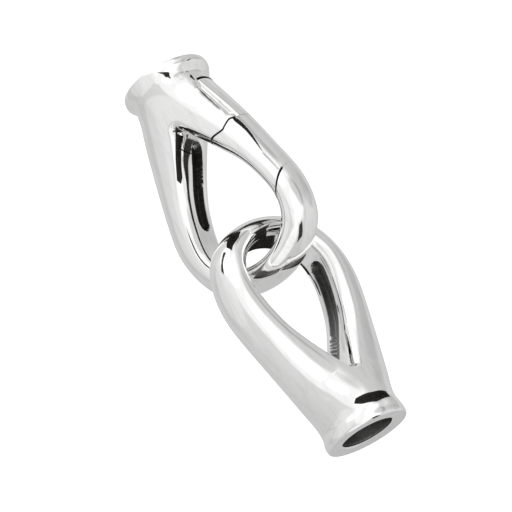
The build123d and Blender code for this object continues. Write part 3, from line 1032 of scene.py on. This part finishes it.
# %% Flags
FLAGS = {
    "trumpet": [(-1.12, 23.10, 11.00), (-0.15, 22.39, 11.15), (0.83, 21.69, 10.93),
                (0.61, 21.42, 10.84), (-0.02, 21.53, 11.05), (-0.26, 22.05, 11.11)],
    "collar": [(4.65, 22.94, 9.04), (4.80, 22.64, 8.97), (4.66, 21.87, 9.71), (4.42, 22.22, 9.96)],
    "flare": [(-0.39, -20.55, 10.33), (0.29, -20.09, 10.34), (1.71, -19.89, 10.04),
              (2.75, -19.90, 9.34), (4.32, -20.28, 7.58), (4.53, -21.34, 7.96),
              (2.66, -21.75, 10.08), (1.16, -20.93, 10.44)],
    "bend": [(26.74, -101.46, 35.89), (32.16, -66.80, 88.59), (55.60, -58.62, 80.81),
             (50.18, -93.28, 28.11)],
    "hook": [(-2.64, 3.50, 9.42), (-1.25, 3.02, 10.11), (-1.75, 2.08, 10.99),
             (-2.90, 1.40, 11.66), (-3.31, 0.81, 11.99), (-3.99, 1.72, 11.40),
             (-3.51, 2.62, 10.39)],
    "shoulder": [(-5.75, 8.29, 12.71), (-4.65, 7.56, 14.35), (-8.04, 5.93, 14.93),
                 (-10.17, 3.25, 15.67), (-10.63, 4.38, 14.14), (-8.04, 6.81, 13.59)],
    "crotch": [(-1.46, 15.76, 8.38), (-1.15, 15.58, 7.17), (-1.75, 14.04, 7.27),
               (-3.02, 11.52, 6.84), (-3.68, 11.04, 6.93), (-4.41, 11.68, 7.30),
               (-3.26, 13.44, 7.87)],
    "ring": [(0.40, 1.77, 7.26), (1.88, 3.69, 4.76), (1.92, 1.09, 10.26), (0.44, -0.83, 7.26)],
    "under": [(-3.2, -2.4, 0.2), (3.2, -2.4, 0.2), (3.2, 2.4, 0.2), (-3.2, 2.4, 0.2)]}
flag_black = matt("flag_black", (0.03, 0.028, 0.026))
for name, corners in FLAGS.items():
    flag = flat_card(f"flag_{name}", np.array(corners) * MM, flag_black)
    flag.visible_camera = flag.visible_diffuse = flag.visible_shadow = False
print(len(FLAGS), "flags")

# %% [markdown]
# ## The room
#
# The room is a soft grey that grows a little lighter upwards and to the back. On it lie round
# panels with soft edges: the softboxes are lighter than it, and the dark corners are darker.

# %% Room
world = bpy.data.worlds.new("room")
bpy.context.scene.world = world
world.use_nodes = True
room = world.node_tree
looking = make(room, "ShaderNodeTexCoord", output="Generated")


def toward(azimuth, elevation):
    """The direction of an azimuth and elevation in degrees; azimuth 0 is -Y and 90 is +X."""
    a, e = math.radians(azimuth), math.radians(elevation)
    return math.sin(a) * math.cos(e), -math.cos(a) * math.cos(e), math.sin(e)


def panel(azimuth, elevation, inner, outer):
    """1 inside a round panel of the room and 0 outside it, with a soft edge between two angles."""
    facing = make(room, "ShaderNodeVectorMath", dict(operation="DOT_PRODUCT"),
                  [looking, toward(azimuth, elevation)], output="Value")
    near, far = math.cos(math.radians(inner)), math.cos(math.radians(outer))
    return ((facing - far) * (1 / (near - far))).clamped(0, 1)


#          azimuth, elevation, radius, level
PANELS = [(115, 71, 39, 0.23), (55, 62, 27, 0.18), (339, 39, 27, 0.32), (192, 27, 21, 0.44),
          (100, -12, 15, -0.07), (237, 24, 38, 0.10), (102, 40, 16, -0.31), (114, -3, 29, -0.11),
          (177, 38, 32, 0.17), (142, 19, 8, -0.30), (63, -12, 36, 0.08), (244, -8, 27, -0.07)]
PANEL_EDGE = 6
GREY, LIGHTER = 0.659, (0.010, 0.074, 0.081)     # and how much lighter towards x, y and z
x, y, z = [make(room, "ShaderNodeSeparateXYZ", None, [looking], output=i) for i in range(3)]
level = GREY + LIGHTER[2] * z + LIGHTER[0] * x + LIGHTER[1] * y
for azimuth, elevation, radius, amount in PANELS:
    level = level + amount * panel(azimuth, elevation, radius - PANEL_EDGE / 2,
                                   radius + PANEL_EDGE / 2)
colour = make(room, "ShaderNodeCombineColor", None, [level, level, level])
background = room.nodes["Background"]
room.links.new(colour.socket, background.inputs["Color"])
background.inputs["Strength"].default_value = 1.0
bpy.context.scene.view_settings.view_transform = "Standard"
print(len(PANELS), "panels in the room")

# %% [markdown]
# ## The camera
#
# A long lens far away keeps the picture nearly parallel. The camera is set by the way back to it,
# and rolled until the line through both end faces lies as it should.

# %% Camera
AZIMUTH, ELEVATION = -19.6, 69.4
LINE_BELOW_LEVEL = 60.0      # degrees, from the first end face to the second
PIXEL = 0.1069               # millimetres
MIDDLE_PX = (9.9, 0.8)       # right and down, from the picture's centre to the clasp's middle
DISTANCE = 1.5               # metres
SENSOR, PICTURE = 36, 512    # the film's width in millimetres, and the picture's in pixels

first_end, second_end = Vector(AXES["gate"][0]), Vector(AXES["loop"][0])
back = Vector(toward(AZIMUTH, ELEVATION))
line = second_end - first_end
line = (line - back * line.dot(back)).normalized()
right = Matrix.Rotation(math.radians(LINE_BELOW_LEVEL), 3, back) @ line
up = back.cross(right)
middle = (first_end + second_end) / 2
target = middle - (right * MIDDLE_PX[0] - up * MIDDLE_PX[1]) * PIXEL * MM
camera_data = bpy.data.cameras.new("camera")
camera_data.sensor_width = SENSOR
camera_data.lens = SENSOR * DISTANCE / (PICTURE * PIXEL * MM)
camera_data.clip_start, camera_data.clip_end = 0.01, 20
camera = bpy.data.objects.new("camera", camera_data)
camera.matrix_world = Matrix.Translation(target + back * DISTANCE) @ Matrix(
    (right, up, back)).transposed().to_4x4()
bpy.context.scene.collection.objects.link(camera)
bpy.context.scene.camera = camera
print("camera", [round(x, 3) for x in camera.location], "lens", round(camera_data.lens), "mm")
